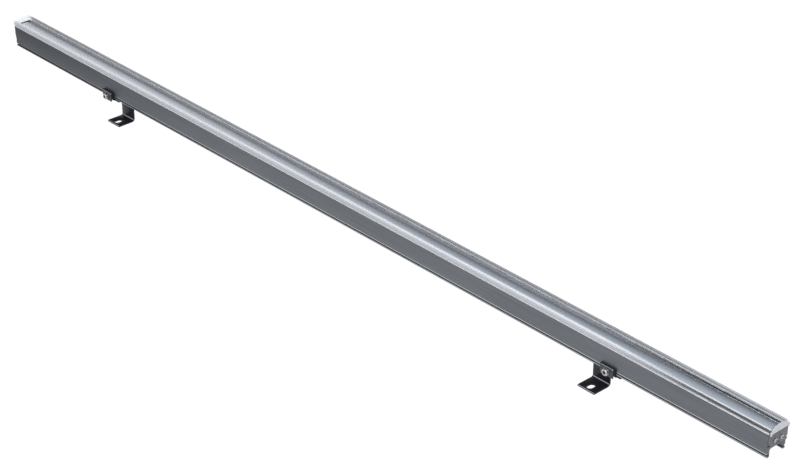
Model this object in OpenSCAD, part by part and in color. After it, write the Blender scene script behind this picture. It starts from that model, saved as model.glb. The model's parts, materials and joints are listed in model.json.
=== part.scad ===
// Linear outdoor wall washer: an H-shaped aluminium bar with a clear domed cover, held by two
// clamp brackets. X runs along the bar, +Y points away from the fixing screws' side of the bar,
// +Z points up. The origin lies midway between the two foot slots, on the underside of the feet.

/* [Housing extrusion] */
// Length of the extrusion
bar_l = 1000; // [700:10:1400]
// Width over both side walls
bar_w = 22; // [20.5:0.5:26]
// Height from the leg ends to the wall tops
bar_h = 21.5; // [20.5:0.5:26]
// Thickness of the side walls above the web
wall_t = 1.8; // [1.4:0.1:2]
// Thickness of the two legs
leg_t = 3.2; // [2.6:0.1:3.6]
// Height of the open channel under the web
leg_h = 9; // [8.2:0.1:9.4]
// Thickness of the web that roofs the lower channel
web_t = 1.4; // [1.2:0.1:1.8]
// Thickness of the deck that carries the boards
deck_t = 1.4; // [1.2:0.1:1.8]
// Depth of the trough above the deck
trough_h = 4; // [3.4:0.1:4.4]
// Rounding of the leg ends
leg_r = 0.8; // [0.6:0.1:1.3]
// Height of the outside groove's lower edge above the leg ends
groove_z = 1.5; // [1.3:0.1:2.2]
// Height of the outside groove
groove_h = 1.5; // [1:0.1:2]
// Depth of the outside groove
groove_d = 1.4; // [0.6:0.1:1.5]
// How far the inside ledge of a leg stands out
ledge_w = 0.8; // [0.4:0.1:1]
// Thickness of the inside ledge
ledge_t = 1; // [0.6:0.1:1.4]
// Distance between the two screw ports
port_gap = 7.6; // [7.2:0.1:8]
// Outer diameter of a screw port
port_d = 5.2; // [4.8:0.1:5.6]

/* [Cover] */
// Rise of the clear dome above the wall tops
cover_h = 8.7; // [7.5:0.1:11]
// Height of the dome's upright edges
cover_edge_h = 2.4; // [2:0.1:3.4]
// Wall thickness of the dome
cover_t = 1.5; // [1.2:0.1:2]
// Thickness of the snap legs inside the side walls
snap_t = 1; // [0.8:0.05:1.2]
// How far a snap ridge stands out of the side wall
ridge_d = 0.5; // [0.3:0.05:0.6]
// Height of a snap ridge
ridge_h = 0.8; // [0.6:0.05:1]
// Thickness of the seal strips under the cover's edges
seal_t = 0.6; // [0.4:0.05:0.9]

/* [Light engine] */
// Number of light sources on each board
leds_per_board = 18; // [10:1:20]
// Gap between a board's edge and the snap leg beside it
board_side = 0.6; // [0.4:0.1:1.2]
// Thickness of the boards
board_t = 1.2; // [1:0.1:1.4]
// Thickness of the thermal pads
pad_t = 0.3; // [0.2:0.05:0.4]
// Side of a square light source
led_s = 3.5; // [2.8:0.1:4]
// Height of a light source's base
led_h = 0.8; // [0.6:0.1:0.9]
// Radius of the clear bead on a light source
led_bead_r = 1.2; // [0.9:0.05:1.3]
// Margin of board that shows on each side of the lens strip
lens_margin = 1.3; // [1:0.1:1.6]
// Thickness of the lens strip's two feet
lens_foot = 1.2; // [1:0.05:1.5]
// Height of the cavity under the lens
lens_cavity_h = 2.3; // [2.2:0.05:2.6]
// Thickness of the lens at its edges
lens_edge_t = 0.8; // [0.6:0.05:1]
// Crown of the lens above its edges
lens_crown = 1.4; // [1:0.1:1.8]

/* [Ends] */
// Thickness of the end plates
plate_t = 0.9; // [0.8:0.1:1.5]
// Thickness of the end gaskets
gasket_t = 0.4; // [0.3:0.05:0.8]
// Thickness of the milky plates that close the dome
cap_t = 0.8; // [0.6:0.1:1.5]
// Height of their lower edges above the dome's
cap_rise = 0.9; // [0.6:0.1:1.2]
// Thread diameter of the end screws
end_screw_d = 2.2; // [2:0.1:2.4]
// Length of the end screws under the head
end_screw_l = 10; // [8:0.5:14]
// Bore of the cable grommets
cable_d = 5; // [4:0.1:5.2]

/* [Brackets] */
// Distance from the bar's middle to each clamp screw
screw_x = 338; // [240:1:338]
// Thickness of the bent steel
steel_t = 1.5; // [1.2:0.1:1.8]
// Width of the foot and its upright
foot_w = 18.5; // [17:0.5:19]
// Depth of the foot, back to front
foot_l = 19.6; // [19:0.1:22]
// Height of the bar above the surface that the feet stand on
stand_h = 21.9; // [19:0.1:34]
// Distance from the screw to the middle of the foot
foot_off = 16.2; // [15.8:0.1:18]
// Width of the foot slot
slot_w = 5.5; // [5:0.1:6.2]
// Length of the foot slot
slot_l = 8; // [7.4:0.1:8.6]
// Distance from the slot's middle to the foot's front edge
slot_edge = 6.2; // [5.8:0.1:6.8]
// Width of the clamp block
block_w = 14; // [12:0.1:15]
// Height of the clamp block
block_h = 8.7; // [7.6:0.1:9]
// Thickness of the clamp block
block_t = 1.2; // [1:0.1:2.6]
// Height of the bracket's front tab above the leg ends
front_tab_h = 6.4; // [6:0.1:7.2]
// Height of the bracket's rear tab above the leg ends
rear_tab_h = 5; // [3.5:0.1:5.6]
// Thread diameter of the clamp screws
clamp_d = 4; // [3:0.1:4.4]
// Diameter of the clamp screws' heads
clamp_head_d = 6.4; // [6:0.1:7]
// Height of the clamp screws' heads
clamp_head_h = 2.2; // [2:0.1:2.8]

/* [Hidden] */

// One overrun serves every cut, and one clearance every loose fit.
cut = 1;
fit = 0.1;
thread_fit = 0.05;
slide_fit = 0.3;
$fn = 64;

// Heights in the bar's own frame: y from the front wall's face, z from the leg ends.
web_z = leg_h + web_t;
deck_z = bar_h - trough_h;
chamber_z = deck_z - deck_t;
port_z = chamber_z + deck_t / 2 - port_d / 2;
port_bore_d = end_screw_d + 2 * thread_fit;
ledge_gap = 1.4;
ledge_z = leg_h - ledge_gap - ledge_t;
ridge_z = bar_h - trough_h / 2;
board_z = deck_z + pad_t;
lens_z = board_z + board_t;
half_l = bar_l / 2;
mid_y = bar_w / 2;
snap_y = wall_t + ridge_d + fit;
board_w = bar_w - 2 * (snap_y + snap_t + board_side);
lens_w = board_w - 2 * lens_margin;
cavity_w = lens_w - 2 * lens_foot;

// The bar's place over the feet.
foot_front_y = -slot_edge;
foot_back_y = foot_front_y + foot_l;
bar_y = foot_back_y - mid_y;

// Places along one board, counted from the bar's middle.
board_gap = 0.5;
board_end_gap = 2;
board_l = half_l - board_end_gap - board_gap;
led_pitch = board_l / leds_per_board;
feed_x = board_gap + (leds_per_board - 1) * led_pitch;
feed_hole_d = 4.4;
wire_d = 1.3;
wire_gap = 0.9;
wire_run = 5;
wire_bend_r = 1.2;
pad_hole_d = 2.6;
board_screws_per_board = 3;
board_screw_d = 2;
board_screw_l = 4;
board_head_d = 4.4;
board_head_h = 1.5;
// Small parts sit this share of the pitch past the midpoint between two light sources, and every
// so many light sources a driver chip takes the place of a pair of resistors.
parts_share = 0.25;
chip_every = 6;
chip_size = [4.9, 3.9, 1.5];
link_share = 0.65;
resistor_size = [2, 1.25, 0.55];
resistor_row_y = cavity_w / 2 - resistor_size.y;
link_size = [9, cavity_w * link_share, 2];

// Grommet and its hole.
grommet_wall = 1;
grommet_lip = 1.5;
grommet_neck_d = cable_d + 2 * grommet_wall;
grommet_flange_d = grommet_neck_d + 2 * grommet_lip;
grommet_flange_t = 0.9;

// End plate details.
plate_drop = 0.2;
plate_z = leg_h - plate_drop;
plate_edge = 1.2;
plate_top_z = bar_h + seal_t - fit;
plate_out = gasket_t + plate_t;
cap_gap = 0.4;
cover_over = plate_out + cap_gap;
cap_z = bar_h + seal_t + cap_rise;
end_head_d = 3.8;
end_head_h = 1.1;
notch_w = 1.2;
notch_h = 1.6;
notch_z = 11.5;
rib_w = 4;
rib_h = 0.8;
rib_z = 10.2;
rib_out = 0.5;
rim_share = 0.6;
drive_d = 1.6;
drive_depth = 0.7;
lug_w = 1.2;
lug_h = 1.8;

// Bracket details.
strap_out = 12;
join_w = 6.5;
block_edge = 0.6;
tab_out = 8.2;
tab_in = 8;
bend_r = 1;
foot_bend_r = 1.8;
tab_y = -slide_fit - steel_t;
block_y = tab_y - block_t;
block_drop = 0.2;
block_z = front_tab_h - block_drop - block_h;
clamp_z = block_z + block_h / 2;
clamp_washer_t = 0.7;
clamp_washer_d = clamp_head_d + 0.4;
head_y = block_y - clamp_washer_t;
clamp_reach = -head_y - fit;
head_round = 0.9;
hex_d = 3.2;
hex_depth = 1.7;

function arch(a, b, steps) = [for (i = [0:steps]) [a * cos(i * 180 / steps), b * sin(i * 180 / steps)]];

// Places children that are drawn in the bar's frame.
module at_bar() {
    translate([0, bar_y, stand_h]) children();
}

// Extrudes a section drawn as (y, z) along X, from x0 for a length.
module along_x(x0, length) {
    translate([x0, 0, 0]) rotate([90, 0, 90]) linear_extrude(length) children();
}

// Draws the children and their mirror image in the bar's section.
module both_walls() {
    children();
    translate([bar_w, 0]) mirror([1, 0]) children();
}

// Draws the right-hand children, or their mirror image for the left hand.
module hand(side) {
    mirror([side == "left" ? 1 : 0, 0, 0]) children();
}

module rounded_leg() {
    translate([0, leg_r]) square([leg_t, leg_h + web_t - leg_r]);
    translate([leg_r, 0]) square([leg_t - 2 * leg_r, leg_r]);
    for (y = [leg_r, leg_t - leg_r]) translate([y, leg_r]) circle(leg_r);
    translate([leg_t, ledge_z]) square([ledge_w, ledge_t]);
}

module housing_section() {
    difference() {
        union() {
            both_walls() {
                rounded_leg();
                translate([0, leg_h]) square([wall_t, bar_h - leg_h]);
                translate([wall_t, ridge_z]) polygon([[0, 0], [ridge_d, ridge_h / 2], [0, ridge_h]]);
            }
            translate([0, leg_h]) square([bar_w, web_t]);
            translate([0, chamber_z]) square([bar_w, deck_t]);
            for (side = [-1, 1]) translate([mid_y + side * port_gap / 2, port_z]) circle(d = port_d);
        }
        for (side = [-1, 1]) translate([mid_y + side * port_gap / 2, port_z]) circle(d = port_bore_d);
        both_walls() translate([-cut, groove_z]) square([groove_d + cut, groove_h]);
    }
}

// Drills one vertical hole through the bar at x, from height z0 to z1.
module drill(x, z0, z1, d) {
    translate([x, mid_y, z0]) cylinder(d = d, h = z1 - z0);
}

module housing() {
    color("slategray") at_bar() difference() {
        along_x(-half_l, 2 * half_l) housing_section();
        for (side = [-1, 1]) {
            drill(side * feed_x, leg_h - cut, web_z + cut / 2, grommet_neck_d);
            drill(side * feed_x, web_z, deck_z + cut, feed_hole_d);
            drill(side * feed_x, web_z, web_z + grommet_flange_t + fit, grommet_flange_d + 2 * fit);
        }
        for (x = board_screw_places()) for (side = [-1, 1])
            drill(side * x, chamber_z - board_screw_l, deck_z + cut, board_screw_d + 2 * thread_fit);
    }
}

// Distances of the board screws from the bar's middle, each midway between two light sources.
function board_screw_places() = [for (i = [1:board_screws_per_board])
    board_gap + led_pitch * round((i - 0.5) * (leds_per_board - 2) / board_screws_per_board)];

module dome_section(inset) {
    translate([mid_y, bar_h + seal_t + cover_edge_h])
        polygon(arch(mid_y - inset, cover_h - seal_t - cover_edge_h - inset, 40));
    translate([inset, bar_h + seal_t]) square([bar_w - 2 * inset, cover_edge_h + fit / 2]);
}

module snap_leg() {
    barb_top = ridge_z - fit;
    translate([snap_y, barb_top - ridge_h]) square([snap_t, bar_h + seal_t + cover_t - barb_top + ridge_h]);
    translate([snap_y, barb_top]) polygon([[0, 0], [-ridge_d, -ridge_h / 4], [0, -ridge_h]]);
}

// The dome runs on over both end plates. Its snap legs end with the side walls that hold them.
module cover() {
    color("lightcyan", 0.4) at_bar() {
        along_x(-half_l - cover_over, 2 * (half_l + cover_over)) difference() {
            dome_section(0);
            difference() {
                dome_section(cover_t);
                translate([0, bar_h]) square([bar_w, seal_t + cover_t]);
            }
            translate([snap_y + snap_t, bar_h])
                square([bar_w - 2 * (snap_y + snap_t), seal_t + cover_t + cut]);
        }
        along_x(-half_l, 2 * half_l) both_walls() snap_leg();
    }
}

module seal_section() {
    translate([fit, bar_h]) square([wall_t - fit, seal_t]);
}

module cover_seal_front() {
    color("whitesmoke") at_bar() along_x(-half_l, 2 * half_l) seal_section();
}

module cover_seal_rear() {
    color("whitesmoke") at_bar() along_x(-half_l, 2 * half_l) translate([bar_w, 0]) mirror([1, 0]) seal_section();
}

module lens_strip() {
    edge_z = lens_cavity_h + lens_edge_t;
    crown_r = (pow(lens_w / 2, 2) + pow(lens_crown, 2)) / (2 * lens_crown);
    color("aliceblue", 0.7) at_bar() along_x(-half_l + board_end_gap, 2 * (half_l - board_end_gap))
        translate([mid_y, lens_z]) difference() {
            union() {
                translate([-lens_w / 2, 0]) square([lens_w, edge_z]);
                intersection() {
                    translate([0, edge_z + lens_crown - crown_r]) circle(crown_r, $fn = 128);
                    translate([-lens_w / 2, edge_z - fit]) square([lens_w, lens_crown + cut]);
                }
            }
            translate([-cavity_w / 2, -cut]) square([cavity_w, lens_cavity_h + cut]);
        }
}

module led_board(side) {
    hand(side) color("white") at_bar() difference() {
        translate([board_gap, mid_y - board_w / 2, board_z]) cube([board_l, board_w, board_t]);
        drill(feed_x, board_z - cut, board_z + board_t + cut, feed_hole_d);
        for (x = board_screw_places()) drill(x, board_z - cut, board_z + board_t + cut, pad_hole_d);
    }
}

module thermal_pad(side) {
    hand(side) color("lightgray") at_bar() difference() {
        translate([board_gap, mid_y - board_w / 2, deck_z]) cube([board_l, board_w, pad_t]);
        drill(feed_x, deck_z - cut, board_z + cut, feed_hole_d);
        for (x = board_screw_places()) drill(x, deck_z - cut, board_z + cut, pad_hole_d);
    }
}

module led_chip() {
    translate([-led_s / 2, -led_s / 2, 0]) cube([led_s, led_s, led_h]);
    intersection() {
        translate([0, 0, led_h]) sphere(led_bead_r, $fn = 24);
        cylinder(r = led_bead_r + cut, h = led_h + led_bead_r + cut);
    }
}

module led_chips(side) {
    hand(side) color("khaki") at_bar() for (i = [0:leds_per_board - 1])
        translate([board_gap + (i + 0.5) * led_pitch, mid_y, lens_z]) led_chip();
}

// Between two light sources: a driver chip at every sixth place, else a pair of resistors.
module board_parts(side) {
    hand(side) color("dimgray") at_bar() for (i = [1:leds_per_board - 2])
        translate([board_gap + (i + parts_share) * led_pitch, mid_y, lens_z]) {
            if (i % chip_every == chip_every / 2)
                translate([-chip_size.x / 2, -chip_size.y / 2, 0]) cube(chip_size);
            else for (s = [-1, 1])
                translate([-resistor_size.x / 2, s * resistor_row_y - resistor_size.y / 2, 0])
                    cube(resistor_size);
        }
}

// The bridge has a moulded body and three leads to each board.
module board_link() {
    color("ivory") at_bar() translate([0, mid_y, lens_z]) {
        translate([-link_size.x / 2, -link_size.y / 2, 0]) cube(link_size);
        for (s = [-1, 1]) for (i = [-1:1])
            translate([s * link_size.x / 2 - led_h, i * link_size.y / 3 - led_h / 2, 0])
                cube([2 * led_h, led_h, led_h / 2]);
    }
}

// A pan-headed screw, head up, whose seat is at z = 0.
module pan_screw(d, length, head_d, head_h) {
    difference() {
        union() {
            translate([0, 0, -length]) cylinder(d = d, h = length);
            cylinder(d = head_d, h = head_h * rim_share);
            intersection() {
                cylinder(d = head_d, h = head_h);
                translate([0, 0, head_h - head_d]) sphere(head_d, $fn = 48);
            }
        }
        translate([0, 0, head_h - drive_depth]) cylinder(d = drive_d, h = drive_depth + cut, $fn = 6);
    }
}

module board_screws() {
    color("silver") at_bar() for (side = [-1, 1]) for (x = board_screw_places())
        translate([side * x, mid_y, lens_z])
            pan_screw(board_screw_d, board_screw_l, board_head_d, board_head_h);
}

// The milky D that closes one end of the dome, with a lug at each lower corner.
module dome_end(side) {
    hand(side) color("ghostwhite", 0.8) at_bar() along_x(half_l + cover_over, cap_t) {
        difference() {
            dome_section(0);
            translate([-cut, 0]) square([bar_w + 2 * cut, cap_z]);
        }
        both_walls() translate([0, cap_z - lug_h]) square([lug_w, lug_h + fit]);
    }
}

// An end plate closes the section above the web. Its tongue rises behind the milky D.
module plate_section() {
    tongue_y = snap_y + snap_t + fit;
    difference() {
        union() {
            polygon([[0, plate_z + plate_edge], [plate_edge, plate_z], [bar_w - plate_edge, plate_z],
                [bar_w, plate_z + plate_edge], [bar_w, plate_top_z], [0, plate_top_z]]);
            translate([tongue_y, plate_top_z - cut])
                square([bar_w - 2 * tongue_y, cap_z + 2 * fit - plate_top_z + cut]);
        }
        for (s = [-1, 1]) translate([mid_y + s * port_gap / 2, port_z]) circle(d = port_bore_d);
    }
}

module end_plate(side) {
    hand(side) color("dimgray") at_bar() {
        along_x(half_l + gasket_t, plate_t) difference() {
            plate_section();
            both_walls() translate([-cut, notch_z - notch_h / 2]) square([notch_w + cut, notch_h]);
        }
        along_x(half_l + gasket_t, plate_t + rib_out)
            translate([mid_y - rib_w / 2, rib_z]) square([rib_w, rib_h]);
    }
}

module end_gasket(side) {
    hand(side) color("black") at_bar() along_x(half_l, gasket_t) plate_section();
}

module end_screws(side) {
    hand(side) color("silver") at_bar() for (s = [-1, 1])
        translate([half_l + plate_out, mid_y + s * port_gap / 2, port_z])
            rotate([0, 90, 0]) pan_screw(end_screw_d, end_screw_l, end_head_d, end_head_h);
}

// Rubber grommet in the web: two flanges, a neck and the bore for a lead.
module cable_grommet(side) {
    hand(side) color("black") at_bar() difference() {
        union() {
            drill(feed_x, leg_h - grommet_flange_t, leg_h, grommet_flange_d);
            drill(feed_x, leg_h - fit, web_z + fit, grommet_neck_d - fit);
            drill(feed_x, web_z, web_z + grommet_flange_t, grommet_flange_d);
        }
        drill(feed_x, leg_h - grommet_flange_t - cut, web_z + grommet_flange_t + cut, cable_d);
    }
}

// Two inner wires rise from the grommet through the board and bend over onto its pads.
module feed_wires(side) {
    bend_z = lens_z + wire_d / 2 - wire_bend_r + thread_fit;
    wire_z = web_z + grommet_flange_t + 4 * fit;
    hand(side) color("firebrick") at_bar() for (s = [-1, 1])
        translate([feed_x, mid_y + s * wire_gap, 0]) {
            translate([0, 0, wire_z]) cylinder(d = wire_d, h = bend_z - wire_z, $fn = 24);
            translate([-wire_bend_r, 0, bend_z]) rotate([90, 0, 0])
                rotate_extrude(angle = 90) translate([wire_bend_r, 0]) circle(d = wire_d, $fn = 24);
            translate([-wire_bend_r - wire_run, 0, bend_z + wire_bend_r]) rotate([0, 90, 0])
                cylinder(d = wire_d, h = wire_run, $fn = 24);
        }
}

// A quarter bend of the steel about the X axis: inner radius r, from angle a0 to a0 + 90.
module bend(x0, width, y, z, a0, r) {
    along_x(x0, width) translate([y, z]) intersection() {
        difference() {
            circle(r + steel_t);
            circle(r);
        }
        rotate(a0) square(2 * r + 2 * steel_t);
    }
}

// A flat stretch of the steel, drawn as a corner and a size in (y, z).
module flat(x0, width, corner, size) {
    along_x(x0, width) translate(corner) square(size);
}

// Bent steel bracket. A channel holds the front leg between two tabs. A short strap joins it to a
// wing behind the leg, and the upright hangs from the wing and ends in the slotted foot.
// Drawn in the bar's frame with its clamp screw at x = 0 and the foot towards -X.
module bracket_shape() {
    reach = bend_r + steel_t;
    foot_reach = foot_bend_r + steel_t;
    wing_in = -foot_off - foot_w / 2;
    wing_y = leg_t + slide_fit;
    wing_back = mid_y - foot_reach;
    tabs_w = tab_in + tab_out;
    strap_in = -tab_in - join_w;
    strap_y = tab_y + reach;
    strap_z = -slide_fit - steel_t;
    rear_y = leg_t + slide_fit + steel_t;
    foot_y = mid_y - foot_l;
    difference() {
        union() {
            flat(strap_in, strap_out - strap_in, [strap_y, strap_z], [rear_y - reach - strap_y, steel_t]);
            flat(strap_in, join_w, [strap_y, strap_z], [wing_back - strap_y, steel_t]);
            flat(wing_in, foot_w, [wing_y, strap_z], [wing_back - wing_y, steel_t]);
            bend(-tab_in, tabs_w, strap_y, strap_z + reach, 180, bend_r);
            flat(-tab_in, tabs_w, [tab_y, strap_z + reach], [steel_t, front_tab_h - strap_z - reach]);
            bend(-tab_in, tabs_w, rear_y - reach, strap_z + reach, 270, bend_r);
            flat(-tab_in, tabs_w, [wing_y, strap_z + reach], [steel_t, rear_tab_h - strap_z - reach]);
            bend(wing_in, foot_w, wing_back, strap_z - foot_bend_r, 0, foot_bend_r);
            flat(wing_in, foot_w, [mid_y - steel_t, foot_reach - stand_h],
                [steel_t, strap_z + steel_t + stand_h - 2 * foot_reach]);
            bend(wing_in, foot_w, wing_back, foot_reach - stand_h, 270, foot_bend_r);
            flat(wing_in, foot_w, [foot_y, -stand_h], [foot_l - foot_reach, steel_t]);
        }
        translate([-foot_off, -bar_y, -stand_h - cut]) {
            for (s = [-1, 1]) translate([0, s * (slot_l - slot_w) / 2, 0])
                cylinder(d = slot_w, h = steel_t + 2 * cut);
            translate([-slot_w / 2, (slot_w - slot_l) / 2, 0])
                cube([slot_w, slot_l - slot_w, steel_t + 2 * cut]);
        }
        translate([0, cut, clamp_z]) rotate([90, 0, 0])
            cylinder(d = clamp_d + 4 * fit, h = -tab_y + 2 * cut);
    }
}

module bracket(side) {
    hand(side) color([0.12, 0.11, 0.13]) at_bar() translate([screw_x, 0, 0]) bracket_shape();
}

// Block on the bracket's front tab, tapped for the clamp screw, with its upper corners cut off.
module clamp_block(side) {
    hand(side) color("slategray") at_bar() translate([screw_x, tab_y, block_z]) rotate([90, 0, 0])
        linear_extrude(block_t) difference() {
            polygon([[-block_w / 2, 0], [block_w / 2, 0], [block_w / 2, block_h - block_edge],
                [block_w / 2 - block_edge, block_h], [block_edge - block_w / 2, block_h],
                [-block_w / 2, block_h - block_edge]]);
            translate([0, clamp_z - block_z]) circle(d = clamp_d + 2 * thread_fit);
        }
}

// A split spring ring under the screw's head.
module clamp_washer(side) {
    hand(side) color("gainsboro") at_bar() translate([screw_x, block_y, clamp_z]) rotate([90, 0, 0])
        linear_extrude(clamp_washer_t) difference() {
            circle(d = clamp_washer_d);
            circle(d = clamp_d + 4 * fit);
            rotate(60) translate([0, -fit]) square([clamp_washer_d, 2 * fit]);
        }
}

// Clamp screw: round head with a hexagon socket; its tip presses on the leg over the groove.
module clamp_screw(side) {
    hand(side) color("silver") at_bar() translate([screw_x, head_y - fit / 2, clamp_z]) rotate([90, 0, 0])
        difference() {
            union() {
                translate([0, 0, -clamp_reach]) cylinder(d = clamp_d, h = clamp_reach + fit);
                cylinder(d = clamp_head_d, h = clamp_head_h - head_round);
                translate([0, 0, clamp_head_h - head_round]) rotate_extrude() {
                    square([clamp_head_d / 2 - head_round, head_round]);
                    intersection() {
                        translate([clamp_head_d / 2 - head_round, 0]) circle(head_round);
                        square([clamp_head_d, head_round]);
                    }
                }
            }
            translate([0, 0, clamp_head_h - hex_depth]) cylinder(d = hex_d, h = hex_depth + cut, $fn = 6);
        }
}

housing();
cover();
cover_seal_front();
cover_seal_rear();
lens_strip();
led_board("left");  // led_board_left
led_board("right");  // led_board_right
led_chips("left");  // led_chips_left
led_chips("right");  // led_chips_right
board_parts("left");  // board_parts_left
board_parts("right");  // board_parts_right
board_link();
board_screws();
thermal_pad("left");  // thermal_pad_left
thermal_pad("right");  // thermal_pad_right
dome_end("left");  // dome_end_left
dome_end("right");  // dome_end_right
end_plate("left");  // end_plate_left
end_plate("right");  // end_plate_right
end_gasket("left");  // end_gasket_left
end_gasket("right");  // end_gasket_right
end_screws("left");  // end_screws_left
end_screws("right");  // end_screws_right
cable_grommet("left");  // cable_grommet_left
cable_grommet("right");  // cable_grommet_right
feed_wires("left");  // feed_wires_left
feed_wires("right");  // feed_wires_right
bracket("left");  // bracket_left
bracket("right");  // bracket_right
clamp_block("left");  // clamp_block_left
clamp_block("right");  // clamp_block_right
clamp_washer("left");  // clamp_washer_left
clamp_washer("right");  // clamp_washer_right
clamp_screw("left");  // clamp_screw_left
clamp_screw("right");  // clamp_screw_right
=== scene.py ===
# %% [markdown]
# # A wall washer bar, dressed in Blender
# The object is a metre of H-shaped aluminium extrusion with a clear domed cover, closed at both
# ends, and two small steel brackets that clamp on its front leg. The construction model comes
# ready in its own frame. What is made here takes its place along the bar from that model's boxes,
# and its outlines are typed in millimetres from the bar's front face and leg ends.

import bmesh
import bpy
import json
import math
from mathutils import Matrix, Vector

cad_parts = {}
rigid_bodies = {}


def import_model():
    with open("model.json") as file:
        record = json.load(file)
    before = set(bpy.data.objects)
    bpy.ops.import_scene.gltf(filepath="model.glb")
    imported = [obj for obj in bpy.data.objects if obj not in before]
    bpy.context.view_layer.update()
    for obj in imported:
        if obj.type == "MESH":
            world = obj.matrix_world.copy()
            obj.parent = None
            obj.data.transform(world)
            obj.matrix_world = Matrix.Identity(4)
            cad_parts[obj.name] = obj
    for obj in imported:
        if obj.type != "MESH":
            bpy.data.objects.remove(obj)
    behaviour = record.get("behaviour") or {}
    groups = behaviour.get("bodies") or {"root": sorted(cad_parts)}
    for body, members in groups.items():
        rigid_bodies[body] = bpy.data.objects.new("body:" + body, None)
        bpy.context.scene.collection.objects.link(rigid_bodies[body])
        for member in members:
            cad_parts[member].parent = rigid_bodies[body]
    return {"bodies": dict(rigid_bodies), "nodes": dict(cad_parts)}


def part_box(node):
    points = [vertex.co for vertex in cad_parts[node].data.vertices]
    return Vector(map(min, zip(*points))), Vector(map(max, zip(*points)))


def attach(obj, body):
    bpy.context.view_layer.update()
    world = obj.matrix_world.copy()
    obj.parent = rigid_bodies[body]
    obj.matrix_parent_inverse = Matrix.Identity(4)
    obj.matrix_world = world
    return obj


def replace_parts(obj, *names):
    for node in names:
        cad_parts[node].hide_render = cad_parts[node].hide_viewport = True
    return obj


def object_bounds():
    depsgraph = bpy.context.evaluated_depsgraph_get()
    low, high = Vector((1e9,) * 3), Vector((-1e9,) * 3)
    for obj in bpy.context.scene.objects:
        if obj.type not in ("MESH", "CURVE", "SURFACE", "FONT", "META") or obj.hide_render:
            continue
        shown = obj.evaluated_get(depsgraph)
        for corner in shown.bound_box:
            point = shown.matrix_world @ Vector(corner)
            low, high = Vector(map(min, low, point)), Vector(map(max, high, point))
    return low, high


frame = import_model()
cad_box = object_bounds()
nodes = frame["nodes"]
print("nodes:", len(nodes), "bodies:", ", ".join(frame["bodies"]))

# %% [markdown]
# ## Sizes
# Blender works in metres, and MM turns a size in millimetres into one. The bar's front face, leg
# ends, width and half length are read from the housing. A section is drawn as (y, z) in
# millimetres, y from the bar's front face to its back and z up from the leg ends.

# %% Sizes shared by several pieces
MM = 0.001
bar_low, bar_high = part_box("housing")
BAR_Y, BAR_Z = bar_low.y, bar_low.z
BAR_W, BAR_H = bar_high.y - bar_low.y, bar_high.z - bar_low.z
HALF_L = bar_high.x
MID_Y = BAR_W / MM / 2
print(f"bar: {2 * HALF_L:.3f} x {BAR_W:.4f} x {BAR_H:.4f} m")

# %% [markdown]
# ## The camera
# The camera stands where the photograph was taken from. Its place and turn come from a fit of
# the bar's long edges and both brackets, and the lens is long, so the far end shrinks little.
# The bar's right end, at +X, is the near one, and its left end is the far one.

# %% Camera
CAMERA_PLACE = (1.3386, -1.1408, 1.0135)
CAMERA_HEADING = math.radians(47.48)
CAMERA_DIP = math.radians(29.83)
CAMERA_LENS = 100.76
CAMERA_SENSOR = 36.0

camera_data = bpy.data.cameras.new("camera")
camera_data.lens = CAMERA_LENS
camera_data.sensor_width = CAMERA_SENSOR
camera = bpy.data.objects.new("camera", camera_data)
camera.location = CAMERA_PLACE
camera.rotation_euler = (math.pi / 2 - CAMERA_DIP, 0.0, CAMERA_HEADING)
bpy.context.scene.collection.objects.link(camera)
bpy.context.scene.camera = camera
bpy.context.scene.view_settings.view_transform = "Standard"
print("camera at", CAMERA_PLACE, "lens", CAMERA_LENS)

# %% [markdown]
# ## Node maths
# A material or a shape here is a short expression. `Field` wraps an output socket, so that
# `1 - mask * 0.3` builds its Math nodes by itself, and `Graph.node` makes every other kind of
# node: its settings are set first, because some of them change which sockets there are.

# %% Field and Graph
class Field:
    """An output socket that takes part in sums."""

    def __init__(self, graph, socket):
        self.graph = graph
        self.socket = socket

    def join(self, operation, first, second, third=0.0):
        return self.graph.node("ShaderNodeMath", {"operation": operation},
                               {0: first, 1: second, 2: third})

    def __add__(self, other):
        return self.join("ADD", self, other)

    def __radd__(self, other):
        return self.join("ADD", other, self)

    def __sub__(self, other):
        return self.join("SUBTRACT", self, other)

    def __rsub__(self, other):
        return self.join("SUBTRACT", other, self)

    def __mul__(self, other):
        return self.join("MULTIPLY", self, other)

    def __rmul__(self, other):
        return self.join("MULTIPLY", other, self)

    def __abs__(self):
        return self.join("ABSOLUTE", self, 0.0)

    def rise(self, start, end):
        """0 below start and 1 above end, or the other way round where end is the lower."""
        return self.graph.node("ShaderNodeMapRange", {"interpolation_type": "SMOOTHSTEP"},
                               {"Value": self, "From Min": start, "From Max": end})

    def near(self, place, reach):
        """1 at a place, falling to 0 at a distance from it."""
        return abs(self - place).rise(reach, 0.0)


class Graph:
    """A node tree under construction."""

    def __init__(self, tree):
        self.tree = tree
        tree.nodes.clear()

    def node(self, kind, settings=None, sockets=None, out=0):
        made = self.tree.nodes.new(kind)
        for name, value in (settings or {}).items():
            setattr(made, name, value)
        for name, value in (sockets or {}).items():
            if isinstance(value, (Field, list)):
                for field in value if isinstance(value, list) else [value]:
                    self.tree.links.new(field.socket, made.inputs[name])
            else:
                made.inputs[name].default_value = value
        return Field(self, made.outputs[out])

# %% [markdown]
# ## Materials under construction
# Every pattern lies in object space, in metres, so its scale is real: a noise of scale 1000 has
# features about a millimetre wide.

# %% Finish
NOISE_ROUGHNESS = 0.55
BUMP_DEPTH = 0.1 * MM


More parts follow.
